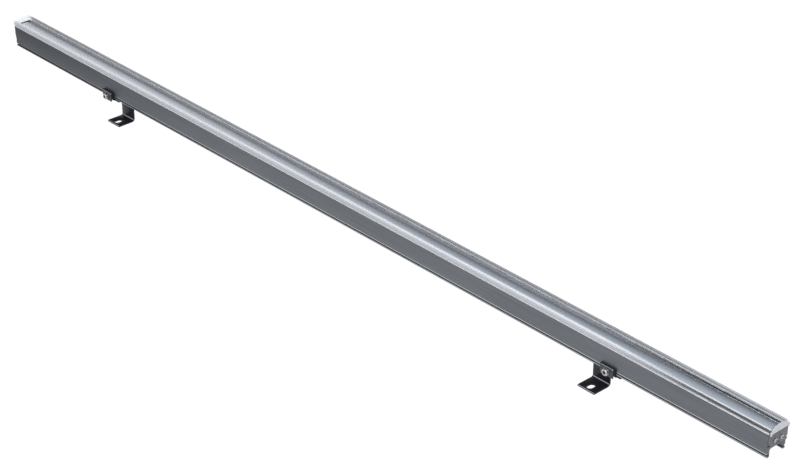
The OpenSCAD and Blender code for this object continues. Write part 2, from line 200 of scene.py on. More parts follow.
class Finish(Graph):
    """A material under construction."""

    def __init__(self, name):
        self.material = bpy.data.materials.new(name)
        self.material.use_nodes = True
        super().__init__(self.material.node_tree)
        self.output = self.tree.nodes.new("ShaderNodeOutputMaterial")
        self.place = self.node("ShaderNodeTexCoord", out="Object")

    def section(self):
        """Where a point lies in the bar's section, as y and z in millimetres."""
        y, z = (self.node("ShaderNodeSeparateXYZ", None, {0: self.place}, out=axis) for axis in "YZ")
        return (y - BAR_Y) * (1 / MM), (z - BAR_Z) * (1 / MM)

    def along(self):
        """How far a point lies from the bar's middle to its right end, in millimetres."""
        return self.node("ShaderNodeSeparateXYZ", None, {0: self.place}, out="X") * (1 / MM)

    def slope(self):
        """How much a surface faces sideways and upwards."""
        facing = self.node("ShaderNodeTexCoord", out="Normal")
        side, up = (self.node("ShaderNodeSeparateXYZ", None, {0: facing}, out=axis) for axis in "YZ")
        return side, up

    def noise(self, scale, detail, stretch=(1.0, 1.0, 1.0)):
        """Noise in object space. A small stretch value draws the pattern out along that axis."""
        where = self.node("ShaderNodeMapping", None, {"Vector": self.place, "Scale": stretch})
        return self.node("ShaderNodeTexNoise", None,
                         {"Vector": where, "Scale": scale, "Detail": detail,
                          "Roughness": NOISE_ROUGHNESS})

    def blend(self, share, first, second):
        """Mixes two colours, each a Field or three linear values."""
        first, second = (c if isinstance(c, Field) else (*c, 1.0) for c in (first, second))
        return self.node("ShaderNodeMix", {"data_type": "RGBA"}, {0: share, 6: first, 7: second}, out=2)

    def bump(self, height, strength):
        return self.node("ShaderNodeBump", None,
                         {"Height": height, "Strength": strength, "Distance": BUMP_DEPTH})

    def principled(self, **sockets):
        """A Principled shader. Names are its sockets', in lower case with underscores."""
        named = {name.replace("_", " ").title().replace("Ior", "IOR"): value
                 for name, value in sockets.items()}
        return self.node("ShaderNodeBsdfPrincipled", None, named)

    def done(self, shader):
        self.tree.links.new(shader.socket, self.output.inputs["Surface"])
        return self.material


def paint(material, *names):
    """Gives CAD nodes a material in all their slots."""
    for name in names:
        slots = nodes[name].material_slots
        if not slots:
            nodes[name].data.materials.append(material)
        for slot in slots:
            slot.material = material
    print(material.name, "on", ", ".join(names))


def both(*stems):
    """Names of the left and right node of each stem."""
    return [f"{stem}_{side}" for stem in stems for side in ("left", "right")]

# %% [markdown]
# ## Aluminium
# The bar is extruded and anodised grey. The press leaves faint lines along the length, which a
# noise that is stretched along X gives, and the oxide turns the metal's gloss into a soft sheen.
# The rest is painted light and shade: painted shade inside the groove with painted highlights on its lips
# above and below it, painted light in the trough under the dome, and painted shade that darkens the whole
# bar toward its far end. The blocks' upper faces carry a painted highlight as well.

# %% Anodised aluminium
# The outside groove and the deck, in millimetres above the leg ends. What lies deeper than
# OUTER_SKIN behind the bar's front or rear face counts as inside.
GROOVE_LOW, GROOVE_TOP = 1.5, 3.0
DECK_Z = 17.5
OUTER_SKIN = 0.9
# Painted shade toward the bar's far end: from and to these distances in millimetres from its middle, at
# this share at most.
FAR_START, FAR_END, FAR_SHARE = -60, -560, 0.85
# Colours of the painted highlight on the groove's lips, the painted shade inside it, the painted light in
# the trough and the painted shade at the far end.
LIP_HIGHLIGHT_COLOUR, GROOVE_SHADE_COLOUR = (0.62, 0.64, 0.68), (0.008, 0.009, 0.011)
TROUGH_LIGHT_COLOUR, FAR_SHADE_COLOUR = (0.5, 0.52, 0.56), (0.012, 0.016, 0.026)
# Colour of the painted highlight on the blocks' upper faces.
TOP_LIGHT_COLOUR = (0.42, 0.44, 0.47)


def anodised(name, dark, light, sheen, line_depth, painted_light=False, painted_top_light=False):
    """The first flag adds the bar's painted light and shade by place, the second a painted highlight on
    upper faces.
    """
    finish = Finish(name)
    lines = finish.noise(900.0, 3.0, stretch=(0.012, 1.0, 1.0))
    grain = finish.noise(2600.0, 2.0)
    drift = finish.noise(9.0, 2.0)
    tone = (0.55 * lines + 0.2 * grain + 0.25 * drift).rise(0.3, 0.7)
    colour = finish.blend(tone, dark, light)
    if painted_light:
        y, z = finish.section()
        outside = abs(y - MID_Y).rise(MID_Y - OUTER_SKIN, MID_Y - OUTER_SKIN + 0.3)
        # Painted highlights on the lips, painted shade in the groove, painted light in the trough, painted
        # shade toward the far end.
        lip_highlight = outside * (0.45 * z.near(GROOVE_LOW - 0.1, 0.9) + 0.9 * z.near(GROOVE_TOP + 0.5, 0.5))
        colour = finish.blend(lip_highlight, colour, LIP_HIGHLIGHT_COLOUR)
        groove_shade = (1 - outside) * z.rise(GROOVE_LOW - 0.2, GROOVE_LOW + 0.1)
        groove_shade = groove_shade * z.rise(GROOVE_TOP + 0.2, GROOVE_TOP - 0.1)
        colour = finish.blend(groove_shade, colour, GROOVE_SHADE_COLOUR)
        trough_light = (1 - outside) * z.rise(DECK_Z - 0.5, DECK_Z + 0.5)
        colour = finish.blend(trough_light, colour, TROUGH_LIGHT_COLOUR)
        painted_far_end = FAR_SHARE * finish.along().rise(FAR_START, FAR_END)
        colour = finish.blend(painted_far_end, colour, FAR_SHADE_COLOUR)
    if painted_top_light:
        # A painted highlight on faces that point upward.
        up = finish.slope()[1]
        colour = finish.blend(up.rise(0.3, 0.6), colour, TOP_LIGHT_COLOUR)
    return finish.done(finish.principled(
        base_color=colour,
        metallic=0.6,
        roughness=sheen + 0.12 * (lines - 0.5),
        normal=finish.bump(0.6 * lines + 0.4 * grain, line_depth)))


bar_metal = anodised("anodised_bar", (0.098, 0.108, 0.123), (0.142, 0.154, 0.172), 0.4, 0.25,
                     painted_light=True)
plate_metal = anodised("anodised_plate", (0.115, 0.122, 0.135), (0.165, 0.174, 0.19), 0.42, 0.2)
block_metal = anodised("anodised_block", (0.034, 0.038, 0.045), (0.055, 0.062, 0.072), 0.38, 0.2,
                       painted_top_light=True)

# %% [markdown]
# ## Steel
# The brackets are powder coated: a fine orange peel over satin black, with a painted line of light along
# their bends, where these face forward and a little up, and along the feet's front edges. The screws and
# rings are bright stainless, and fine scratches break their gloss.

# %% Powder coat and stainless steel
# The colour of the painted line of light on the brackets, and how high, in millimetres, it lies on a
# foot's front edge.
PAINTED_GLINT_COLOUR = (0.42, 0.4, 0.45)
TOE_GLINT_HEIGHT = 1.3


def powder_coat():
    """Satin black powder coat, with a painted line of light on its bends and on the feet's front edges."""
    finish = Finish("powder_coat")
    peel = finish.noise(1500.0, 2.0)
    cloud = finish.noise(60.0, 3.0)
    tone = (0.5 * peel + 0.5 * cloud).rise(0.35, 0.65)
    colour = finish.blend(tone, (0.013, 0.012, 0.017), (0.024, 0.021, 0.03))
    side, up = finish.slope()
    y, z = finish.section()
    toe_y = (cad_box[0][1] - BAR_Y) / MM
    toe_z = (cad_box[0][2] - BAR_Z) / MM
    # Painted highlights: a line on bends that face forward and a little up, and one along a foot's front
    # edge.
    bend_glint = up.near(0.5, 0.3) * side.rise(-0.6, -0.8)
    toe_glint = y.near(toe_y, 0.5) * z.near(toe_z + TOE_GLINT_HEIGHT, 0.6)
    return finish.done(finish.principled(
        base_color=finish.blend(bend_glint + toe_glint, colour, PAINTED_GLINT_COLOUR),
        roughness=0.22 + 0.08 * (cloud - 0.5),
        specular_ior_level=0.12,
        normal=finish.bump(peel, 0.3)))


def stainless(name, dark, light):
    finish = Finish(name)
    scratch = finish.noise(3000.0, 2.0, stretch=(1.0, 0.15, 1.0))
    cloud = finish.noise(400.0, 2.0)
    return finish.done(finish.principled(
        base_color=finish.blend(cloud, dark, light),
        metallic=1.0,
        roughness=0.22 + 0.14 * scratch,
        normal=finish.bump(scratch, 0.15)))


coat = powder_coat()
steel = stainless("stainless_steel", (0.34, 0.34, 0.35), (0.48, 0.48, 0.5))
dull_steel = stainless("dull_steel", (0.33, 0.33, 0.35), (0.48, 0.48, 0.5))

# %% [markdown]
# ## Plastics and rubber
# The dome is clear: a mix of two transparent shaders, one of which is grey and is painted shade at its
# silhouette and on the flank at its rear edge. On its flanks a milky layer paints a band of light: seen
# square on they are clear, and seen aslant they turn milky, and the band is painted thinner near the right
# end. The outer faces carry gloss by Fresnel. The inner ones don't, because from within they would mirror
# everything.

# %% Clear and milky plastics
# A flank turns milky, which paints a band of light on it, once it faces the eye by less than the first
# share below of its sideways slope and the second of its upward slope together; the third is the most it
# turns milky. The painted band thins by the last share of the next line, between its first two distances
# in millimetres from the bar's middle to its right end.
BAND_SIDE, BAND_UP, BAND_MOST = 0.63, 0.535, 0.84
BAND_FADE_FROM, BAND_FADE_TO, BAND_FADE_BY = 330, 470, 0.75
# The grey painted shade at the silhouette starts above the snap legs, at this height of the section.
RIM_LOW = 22.0
DOME_IOR, DOME_GLOSS = 1.58, 0.8
# Colours seen through the dome: clear, and the grey of the painted shade at its rim.
CLEAR_COLOUR, RIM_SHADE_COLOUR = (0.985, 0.99, 0.995, 1.0), (0.39, 0.41, 0.46, 1.0)
# The lens strip's front and rear, across the section, and between which heights of the section its two
# edges carry a painted highlight.
LENS_FRONT, LENS_REAR = 5.3, 16.7
EDGE_HIGHLIGHT_FROM, EDGE_HIGHLIGHT_FULL = 21.7, 21.95
LENS_IOR, LENS_BODY = 1.49, 0.85
GRAIN_SCALE, CLOUD_SCALE = 1200.0, 80.0


def dome_finish():
    finish = Finish("clear_dome")
    swirl = finish.noise(40.0, 2.0, stretch=(0.1, 1.0, 1.0))
    side, up = finish.slope()
    facing = 1 - finish.node("ShaderNodeLayerWeight", None, {"Blend": 0.5}, out="Facing")
    # The milky layer seen aslant is a painted band of light, painted thinner toward the right end.
    aslant = (BAND_SIDE * abs(side) + BAND_UP * abs(up) - facing).rise(-0.03, 0.0)
    painted_band = BAND_MOST * aslant * abs(side).rise(0.5, 0.72)
    # The band is painted darker where the flank stands upright.
    milk = finish.blend(abs(side).rise(0.9, 0.7), (0.46, 0.48, 0.52), (0.76, 0.79, 0.84))
    y, z = finish.section()
    x = finish.along()
    painted_band = painted_band * (1 - BAND_FADE_BY * x.rise(BAND_FADE_FROM, BAND_FADE_TO))
    # Painted shade: grey shows through at the silhouette and on the rear flank.
    rim_shade = (1 - facing).rise(0.6, 0.9) * 0.7 + y.rise(MID_Y, MID_Y + 6) * abs(side).rise(0.6, 0.8) * 0.8
    rim_shade = rim_shade * abs(x).rise(HALF_L / MM + 1, HALF_L / MM - 1) * z.rise(RIM_LOW - 0.5, RIM_LOW + 0.5)
    clear = finish.node("ShaderNodeBsdfTransparent", None, {"Color": CLEAR_COLOUR})
    grey = finish.node("ShaderNodeBsdfTransparent", None, {"Color": RIM_SHADE_COLOUR})
    through = finish.node("ShaderNodeMixShader", None, {0: rim_shade, 1: clear, 2: grey})
    body = finish.principled(base_color=milk, roughness=0.5, specular_ior_level=0.0)
    body = finish.node("ShaderNodeMixShader", None, {0: painted_band, 1: through, 2: body})
    shine = finish.principled(base_color=(1.0, 1.0, 1.0, 1.0), metallic=1.0,
                              roughness=0.06 + 0.03 * swirl)
    outer = 1 - finish.node("ShaderNodeNewGeometry", out="Backfacing")
    gloss = DOME_GLOSS * outer * finish.node("ShaderNodeFresnel", None, {"IOR": DOME_IOR})
    return finish.done(finish.node("ShaderNodeMixShader", None, {0: gloss, 1: body, 2: shine}))


def lens_finish():
    """Painted light: lighter along its front than at its rear and toward the far end, painted dark on its
    flanks, with painted highlights on its two edges.
    """
    finish = Finish("clear_lens")
    y, z = finish.section()
    side = finish.slope()[0]
    flow = finish.noise(60.0, 2.0, stretch=(0.05, 1.0, 1.0))
    # Painted light across the strip, front to rear, and toward the far end.
    across = (y + 1.2 * (flow - 0.5)).rise(LENS_FRONT, LENS_REAR)
    painted_far_end = finish.along().rise(250, -400)
    front = finish.blend(painted_far_end, (0.5, 0.55, 0.62), (0.9, 0.92, 0.97))
    rear = finish.blend(painted_far_end, (0.22, 0.24, 0.28), (0.52, 0.53, 0.59))
    tone = finish.blend(across, front, rear)
    # Painted shade on the strip's upright flanks.
    tone = finish.blend(abs(side).rise(0.5, 0.95), tone, (0.13, 0.14, 0.16))
    # Painted highlights along the strip's two edges.
    edge = y.near(LENS_FRONT + 0.5, 1.0) + 0.5 * y.near(LENS_REAR - 0.35, 0.6)
    tone = finish.blend(edge * z.rise(EDGE_HIGHLIGHT_FROM, EDGE_HIGHLIGHT_FULL), tone, (0.95, 0.96, 0.98))
    through = finish.node("ShaderNodeBsdfTransparent", None, {"Color": (0.9, 0.93, 0.96, 1.0)})
    body = finish.principled(base_color=tone, roughness=0.3 + 0.1 * flow, ior=LENS_IOR,
                             specular_ior_level=0.15)
    return finish.done(finish.node("ShaderNodeMixShader", None, {0: LENS_BODY, 1: through, 2: body}))


def milky_finish():
    """Milky plastic, painted lighter toward the far end and given a painted glow there."""
    finish = Finish("milky_plastic")
    cloud = finish.noise(300.0, 2.0)
    # Painted light and a painted glow toward the far end.
    painted_far_end = finish.along().rise(100, -400)
    return finish.done(finish.principled(
        base_color=finish.blend(painted_far_end, (0.62, 0.63, 0.66), (0.93, 0.93, 0.95)),
        roughness=0.35 + 0.1 * cloud,
        emission_color=finish.blend(painted_far_end, (0.0, 0.0, 0.0), (0.42, 0.42, 0.43)),
        emission_strength=1.0))


def plain(name, dark, light, roughness, depth):
    """Two tones that a fine grain and a slow cloud mix."""
    finish = Finish(name)
    grain = finish.noise(GRAIN_SCALE, 3.0)
    cloud = finish.noise(CLOUD_SCALE, 2.0)
    tone = (0.5 * grain + 0.5 * cloud).rise(0.35, 0.65)
    return finish.done(finish.principled(
        base_color=finish.blend(tone, dark, light),
        roughness=roughness + 0.1 * (cloud - 0.5),
        normal=finish.bump(grain, depth)))


dome_plastic = dome_finish()
lens_plastic = lens_finish()
milky_plastic = milky_finish()
silicone = plain("silicone", (0.8, 0.8, 0.81), (0.88, 0.88, 0.89), 0.4, 0.1)
rubber = plain("black_rubber", (0.012, 0.012, 0.013), (0.022, 0.022, 0.024), 0.6, 0.3)
# The solder mask is white, painted grey for the shade it lies in under the lens.
solder_mask = plain("solder_mask", (0.3, 0.31, 0.32), (0.36, 0.37, 0.38), 0.3, 0.1)
solder = plain("solder", (0.35, 0.35, 0.36), (0.5, 0.5, 0.51), 0.3, 0.2)
bezel_white = plain("bezel_white", (0.7, 0.7, 0.68), (0.78, 0.78, 0.76), 0.35, 0.1)
phosphor = plain("phosphor", (0.62, 0.52, 0.2), (0.7, 0.6, 0.28), 0.12, 0.05)
black_moulding = plain("black_moulding", (0.02, 0.02, 0.022), (0.03, 0.03, 0.033), 0.5, 0.2)
ivory_moulding = plain("ivory_moulding", (0.55, 0.52, 0.42), (0.62, 0.59, 0.5), 0.4, 0.1)
thermal_grey = plain("thermal_grey", (0.25, 0.26, 0.28), (0.32, 0.33, 0.35), 0.7, 0.2)
red_wire = plain("wire_red", (0.3, 0.02, 0.015), (0.38, 0.03, 0.02), 0.45, 0.1)
black_wire = plain("wire_black", (0.015, 0.015, 0.016), (0.025, 0.025, 0.027), 0.45, 0.1)
paint(solder_mask, *both("led_board"))
paint(ivory_moulding, "board_link")

# %% [markdown]
# ## Softened pieces
# No real edge is perfectly sharp. A copy of a node is welded, its flat facets are joined, and a
# small bevel rounds its edges, so that they catch a line of light. The copy replaces the node.

# %% Softened copies
SHARP_FROM = math.radians(35)
BEVEL_FROM = math.radians(40)
FLAT_UP_TO = math.radians(1)
WELD = 0.002 * MM


def baked(piece):
    """Leaves what an object's modifiers make as its own mesh, faces outward, smooth by angle."""
    graph = bpy.context.evaluated_depsgraph_get()
    mesh = bpy.data.meshes.new_from_object(piece.evaluated_get(graph))
    piece.modifiers.clear()
    piece.data = mesh
    work = bmesh.new()
    work.from_mesh(mesh)
    bmesh.ops.recalc_face_normals(work, faces=work.faces)
    work.to_mesh(mesh)
    work.free()
    mesh.shade_smooth()
    mesh.set_sharp_from_angle(angle=SHARP_FROM)
    return piece


def linked(name, data):
    """A new object in the scene, for a mesh or a lamp."""
    piece = bpy.data.objects.new(name, data)
    bpy.context.scene.collection.objects.link(piece)
    return piece


def softened(name, body, material, width, segments=2):
    """Replaces a node with its softened copy, with a bevel of this width in millimetres."""
    work = bmesh.new()
    work.from_mesh(nodes[name].data)
    bmesh.ops.remove_doubles(work, verts=work.verts, dist=WELD)
    bmesh.ops.dissolve_limit(work, angle_limit=FLAT_UP_TO, verts=work.verts, edges=work.edges)
    mesh = bpy.data.meshes.new(name + "_soft")
    work.to_mesh(mesh)
    work.free()
    mesh.materials.clear()
    mesh.materials.append(material)
    piece = linked(name + "_soft", mesh)
    bevel = piece.modifiers.new("bevel", "BEVEL")
    bevel.width = width * MM
    bevel.segments = segments
    bevel.limit_method = "ANGLE"
    bevel.angle_limit = BEVEL_FROM
    bpy.context.view_layer.update()
    baked(piece)
    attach(piece, body)
    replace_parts(piece, name)
    print(f"{piece.name}: {len(piece.data.polygons)} faces")
    return piece


# A clamp screw's faces close to its axis, behind the front of its head, take black rubber: painted shade
# in its hexagon socket.
SOCKET_SHADE_R, HEAD_FRONT = 1.65 * MM, 0.2 * MM

softened("housing", "bar", bar_metal, 0.2)
for side in ("left", "right"):
    softened(f"bracket_{side}", f"bracket_{side}", coat, 0.25)
    softened(f"clamp_block_{side}", f"bracket_{side}", block_metal, 0.45, 3)
    softened(f"clamp_washer_{side}", f"bracket_{side}", steel, 0.08)
    screw = softened(f"clamp_screw_{side}", f"clamp_screw_{side}", steel, 0.12)
    low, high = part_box(f"clamp_screw_{side}")
    # Black rubber on the socket's faces is painted shade.
    screw.data.materials.append(rubber)
    for face in screw.data.polygons:
        away = math.hypot(face.center.x - (low.x + high.x) / 2, face.center.z - (low.z + high.z) / 2)
        face.material_index = int(away < SOCKET_SHADE_R and face.center.y > low.y + HEAD_FRONT)
    softened(f"end_plate_{side}", "bar", plate_metal, 0.15)
    softened(f"end_gasket_{side}", "bar", rubber, 0.08)
    softened(f"end_screws_{side}", "bar", dull_steel, 0.1)
    softened(f"cable_grommet_{side}", "bar", rubber, 0.2)
    softened(f"thermal_pad_{side}", "bar", thermal_grey, 0.08)
    wires = softened(f"feed_wires_{side}", "bar", red_wire, 0.06)
    wires.data.materials.append(black_wire)
    for face in wires.data.polygons:
        face.material_index = int(face.center.y > BAR_Y + BAR_W / 2)
softened("board_screws", "bar", steel, 0.1)

# %% [markdown]
# ## Swept sections
# The dome, its snap legs, the milky ends, the seals and the lens are sections drawn out along the
# bar. A Geometry Nodes tree does that: it turns an outline into a curve, sweeps it along a line
# whose half length is the tree's input, closes the ends, and turns that line from Z to X.

# %% Shape and swept
class Shape(Graph):
    """A Geometry Nodes tree that runs once and leaves its result as a mesh."""

    def __init__(self, name):
        super().__init__(bpy.data.node_groups.new(name, "GeometryNodeTree"))
        self.name = name
        self.given = {}
        for way in ("INPUT", "OUTPUT"):
            self.tree.interface.new_socket("Geometry", in_out=way, socket_type="NodeSocketGeometry")
        self.entry = self.tree.nodes.new("NodeGroupInput")
        self.start = Field(self, self.entry.outputs[0])

    def value(self, name, kind, value):
        """A named input of the tree, set before the tree first runs."""
        socket = self.tree.interface.new_socket(name, in_out="INPUT", socket_type=f"NodeSocket{kind}")
        self.given[socket.identifier] = value
        return Field(self, self.entry.outputs[name])

    def run(self, geometry, mesh, material):
        """Makes the piece whose mesh the tree starts from, and leaves it as a plain mesh."""
        geometry = self.node("GeometryNodeRealizeInstances", None, {"Geometry": geometry})
        geometry = self.node("GeometryNodeSetMaterial", None, {"Geometry": geometry, "Material": material})
        self.tree.links.new(geometry.socket, self.tree.nodes.new("NodeGroupOutput").inputs[0])
        piece = linked(self.name, mesh)
        modifier = piece.modifiers.new("shape", "NODES")
        modifier.node_group = self.tree
        for identifier, value in self.given.items():
            modifier[identifier] = value
        bpy.context.view_layer.update()
        return baked(piece)


def swept(name, half_length, material, *outlines):
    """Sweeps closed outlines, each a list of (y, z) in millimetres, along X."""
    points, edges = [], []
    for outline in outlines:
        first = len(points)
        points += [(BAR_Y + y * MM, BAR_Z + z * MM, 0.0) for y, z in outline]
        edges += [(first + i, first + (i + 1) % len(outline)) for i in range(len(outline))]
    section = bpy.data.meshes.new(name + "_section")
    section.from_pydata(points, edges, [])
    shape = Shape(name)
    half = shape.value("Half length", "Float", half_length)
    ends = [shape.node("ShaderNodeCombineXYZ", None, {"Z": z}) for z in (0 - half, half)]
    line = shape.node("GeometryNodeCurvePrimitiveLine", None, {"Start": ends[0], "End": ends[1]})
    outline = shape.node("GeometryNodeMeshToCurve", None, {"Mesh": shape.start})
    solid = shape.node("GeometryNodeCurveToMesh", None,
                       {"Curve": line, "Profile Curve": outline, "Fill Caps": True})
    turned = shape.node("GeometryNodeTransform", None,
                        {"Geometry": solid, "Rotation": (math.pi / 2, 0.0, math.pi / 2)})
    piece = shape.run(turned, section, material)
    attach(piece, "bar")
    print(f"{name}: {len(piece.data.polygons)} faces")
    return piece


def arc(centre, radii, start, end, steps):
    """Points on an ellipse, from one angle to another in degrees."""
    turns = (math.radians(start + (end - start) * i / steps) for i in range(steps + 1))
    return [(centre[0] + radii[0] * math.cos(a), centre[1] + radii[1] * math.sin(a)) for a in turns]


def mirrored(outline):
    return [(2 * MID_Y - y, z) for y, z in outline]

# %% Dome, milky ends and seals
DOME_Z, FOOT_TOP, DOME_SPRING, DOME_RISE, DOME_WALL = 22.1, 23.6, 24.5, 5.7, 1.5
DOME_STEPS = 72
LEG_OUT, LEG_IN, LEG_LOW, LEG_EDGE = 2.4, 3.4, 18.6, 0.2
TOOTH, TOOTH_LOW, TOOTH_TOP = 0.5, 0.6, 0.9
EDGE_R = 0.3
# The dome stops this far short of the milky ends' outer faces.
END_STEP = 0.1 * MM
end_low, end_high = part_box("dome_end_right")

half_foot = ([(LEG_IN, FOOT_TOP), (LEG_IN, DOME_Z)]
             + arc((EDGE_R, DOME_Z + EDGE_R), (EDGE_R, EDGE_R), 270, 180, 4))
outer = arc((MID_Y, DOME_SPRING), (MID_Y, DOME_RISE), 180, 0, DOME_STEPS)
inner = arc((MID_Y, DOME_SPRING), (MID_Y - DOME_WALL, DOME_RISE - DOME_WALL), 0, 180, DOME_STEPS)
dome_outline = (half_foot + outer + mirrored(half_foot)[::-1]
                + [(2 * MID_Y - DOME_WALL, FOOT_TOP)] + inner + [(DOME_WALL, FOOT_TOP)])
dome = swept("dome", end_high.x - END_STEP, dome_plastic, dome_outline)

# A snap leg's tooth points outward, at heights above the leg's low end.
snap_leg = [(LEG_OUT, DOME_Z), (LEG_OUT, LEG_LOW + TOOTH_TOP), (LEG_OUT - TOOTH, LEG_LOW + TOOTH_LOW),
            (LEG_OUT, LEG_LOW), (LEG_IN - LEG_EDGE, LEG_LOW), (LEG_IN, LEG_LOW + LEG_EDGE),
            (LEG_IN, DOME_Z)]
swept("dome_legs", HALF_L, dome_plastic, snap_leg, mirrored(snap_leg))
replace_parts(dome, "cover")

# Each milky end fills the dome's inner outline, and a sill below it runs the full width.
SILL_Z, SILL_TOP, SILL_EDGE, LUG_Z, LUG_W, LUG_EDGE = 22.6, 24.6, 0.3, 21.2, 1.2, 0.2
half_end = [(LUG_W, SILL_Z), (LUG_W, LUG_Z + LUG_EDGE), (LUG_W - LUG_EDGE, LUG_Z), (LUG_EDGE, LUG_Z),
            (0.0, LUG_Z + LUG_EDGE), (0.0, SILL_TOP - SILL_EDGE), (SILL_EDGE, SILL_TOP),
            (DOME_WALL, SILL_TOP)]
end_outline = half_end + inner[::-1] + mirrored(half_end)[::-1]
thick = (end_high.x - end_low.x) / 2
for side, sign in (("left", -1), ("right", 1)):
    cap = swept(f"milky_end_{side}", thick, milky_plastic, end_outline)
    for vertex in cap.data.vertices:
        vertex.co.x += sign * (end_high.x - thick)
    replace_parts(cap, f"dome_end_{side}")

SEAL_IN, SEAL_OUT, SEAL_Z, SEAL_R = 1.8, 0.1, 21.5, 0.3
seal = arc((SEAL_OUT + SEAL_R, (SEAL_Z + DOME_Z) / 2), (SEAL_R, SEAL_R), 270, 90, 8)
seal += [(SEAL_IN, DOME_Z), (SEAL_IN, SEAL_Z)]
for name, outline in (("front", seal), ("rear", mirrored(seal))):
    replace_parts(swept(f"seal_{name}", HALF_L, silicone, outline), f"cover_seal_{name}")

# %% Lens strip
LENS_Z, LENS_EDGE, LENS_CROWN, CAVITY_Z, LENS_WALL = 19.0, 22.1, 1.4, 21.3, 1.2
LENS_ROUND = 0.35
# The crown's arc spans this share of its angle, which leaves room for the rounded edges.
CROWN_SHARE, CROWN_STEPS = 0.9, 36
lens_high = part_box("lens_strip")[1]
half_lens = (LENS_REAR - LENS_FRONT) / 2
crown_r = (half_lens ** 2 + LENS_CROWN ** 2) / (2 * LENS_CROWN)
crown_half = math.degrees(math.asin((half_lens - 0.3) / crown_r))
lens_side = [(LENS_FRONT + LENS_WALL, CAVITY_Z), (LENS_FRONT + LENS_WALL, LENS_Z),
             (LENS_FRONT, LENS_Z), (LENS_FRONT, LENS_EDGE - LENS_ROUND)]
lens_side += arc((LENS_FRONT + LENS_ROUND, LENS_EDGE - 0.2), (LENS_ROUND, 0.3), 180, 110, 5)
crown = arc((MID_Y, LENS_EDGE + LENS_CROWN - crown_r), (crown_r, crown_r),
            90 + crown_half * CROWN_SHARE, 90 - crown_half * CROWN_SHARE, CROWN_STEPS)
lens = swept("lens", lens_high.x, lens_plastic, lens_side + crown + mirrored(lens_side)[::-1])
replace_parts(lens, "lens_strip")

# %% [markdown]
# ## Rows along the boards
# Each board carries its light sources at one pitch. A Geometry Nodes tree sets a template at
# every place of the right-hand board, or only at some of them, and mirrors the row for the
# left-hand board. Between the light sources sit a few driver chips, and resistors elsewhere.

# %% Rows
board_low, board_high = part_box("led_board_right")
LEDS = 18
PITCH = (board_high.x - board_low.x) / LEDS
# Parts start this many pitches along the board. Of each CHIP_EVERY places, counted from 1, the
# one numbered CHIP_AT has a chip, and the others have resistors.
PARTS, PART_START = LEDS - 2, 1.25
CHIP_EVERY, CHIP_AT = 6, 3
# Sizes and places on the board in millimetres, about a light source or a part.
BEZEL_W, BEZEL_H, BEAD_R = 3.5, 0.8, 1.2
RESISTOR_Y = 3.25
LATHE_STEPS = 20


def template(name, build):
    """A mesh built by a function, in millimetres about a place on the board."""
    work = bmesh.new()
    build(work)
    bmesh.ops.scale(work, vec=(MM, MM, MM), verts=work.verts)
    mesh = bpy.data.meshes.new(name)
    work.to_mesh(mesh)
    work.free()
    return mesh


def block(work, centre, size, edge=0.12):
    """A block with bevelled edges."""
    made = bmesh.ops.create_cube(work, size=1.0)["verts"]
    bmesh.ops.scale(work, vec=size, verts=made)
    bmesh.ops.translate(work, vec=centre, verts=made)
    edges = list(dict.fromkeys(e for v in made for e in v.link_edges))
    bmesh.ops.bevel(work, geom=edges, offset=edge, segments=1, affect="EDGES")


def lathe(work, profile):
    """A solid of revolution about Z, from (radius, z) points that start and end on the axis."""
    turns = [2 * math.pi * i / LATHE_STEPS for i in range(LATHE_STEPS)]
    rings = [[work.verts.new((r * math.cos(t), r * math.sin(t), z)) for t in turns]
             for r, z in profile if r > 0]
    poles = [work.verts.new((0, 0, profile[0][1])), work.verts.new((0, 0, profile[-1][1]))]
    for low, high in zip(rings, rings[1:]):
        for i in range(LATHE_STEPS):
            work.faces.new((low[i - 1], low[i], high[i], high[i - 1]))
    for pole, ring in zip(poles, (rings[0], rings[-1])):
        for i in range(LATHE_STEPS):
            work.faces.new((pole, ring[i - 1], ring[i]))


def row(name, material, mesh, first, count, keep=None):
    """Sets a template along both boards, at all places, or only at the "chips" or "others"."""
    shape = Shape(name)
    number = shape.value("Count", "Int", count)
    pitch = shape.value("Pitch", "Float", PITCH)
    start = shape.value("Start", "Float", first)
    every = shape.value("Every", "Float", float(CHIP_EVERY))
    height = board_high.z
    begin = shape.node("ShaderNodeCombineXYZ", None, {"X": start, "Y": BAR_Y + MID_Y * MM, "Z": height})
    step = shape.node("ShaderNodeCombineXYZ", None, {"X": pitch})
    places = shape.node("GeometryNodeMeshLine", None,
                        {"Count": number, "Start Location": begin, "Offset": step})
    sockets = {"Points": places, "Instance": shape.start}
    if keep:
        index = shape.node("GeometryNodeInputIndex") + 1
        is_chip = index.join("COMPARE", index.join("MODULO", index, every), float(CHIP_AT), 0.5)
        sockets["Selection"] = is_chip if keep == "chips" else 1 - is_chip
    right = shape.node("GeometryNodeInstanceOnPoints", None, sockets)
    left = shape.node("GeometryNodeTransform", None, {"Geometry": right, "Scale": (-1.0, 1.0, 1.0)})
    piece = shape.run(shape.node("GeometryNodeJoinGeometry", None, {0: [right, left]}), mesh, material)
    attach(piece, "bar")
    print(f"{name}: {len(piece.data.polygons)} faces")
    return piece


# Each function below builds one template. A block takes its centre, its size and its bevel.
def bezel(work):
    """The pale body of a light source, with a raised ring."""
    block(work, (0, 0, BEZEL_H / 2), (BEZEL_W, BEZEL_W, BEZEL_H))
    lathe(work, [(0, 0.75), (1.55, 0.75), (1.55, 0.88), (1.42, 0.88), (1.3, BEZEL_H), (0, BEZEL_H)])


def bead(work):
    """The pale bead on a light source: a quarter circle turned about the axis."""
    quarter = [(BEAD_R * math.cos(t), BEZEL_H + BEAD_R * math.sin(t))
               for t in (math.pi * i / 14 for i in range(7))]
    lathe(work, [(0, BEZEL_H - 0.1), (BEAD_R, BEZEL_H - 0.1)] + quarter + [(0, BEZEL_H + BEAD_R)])


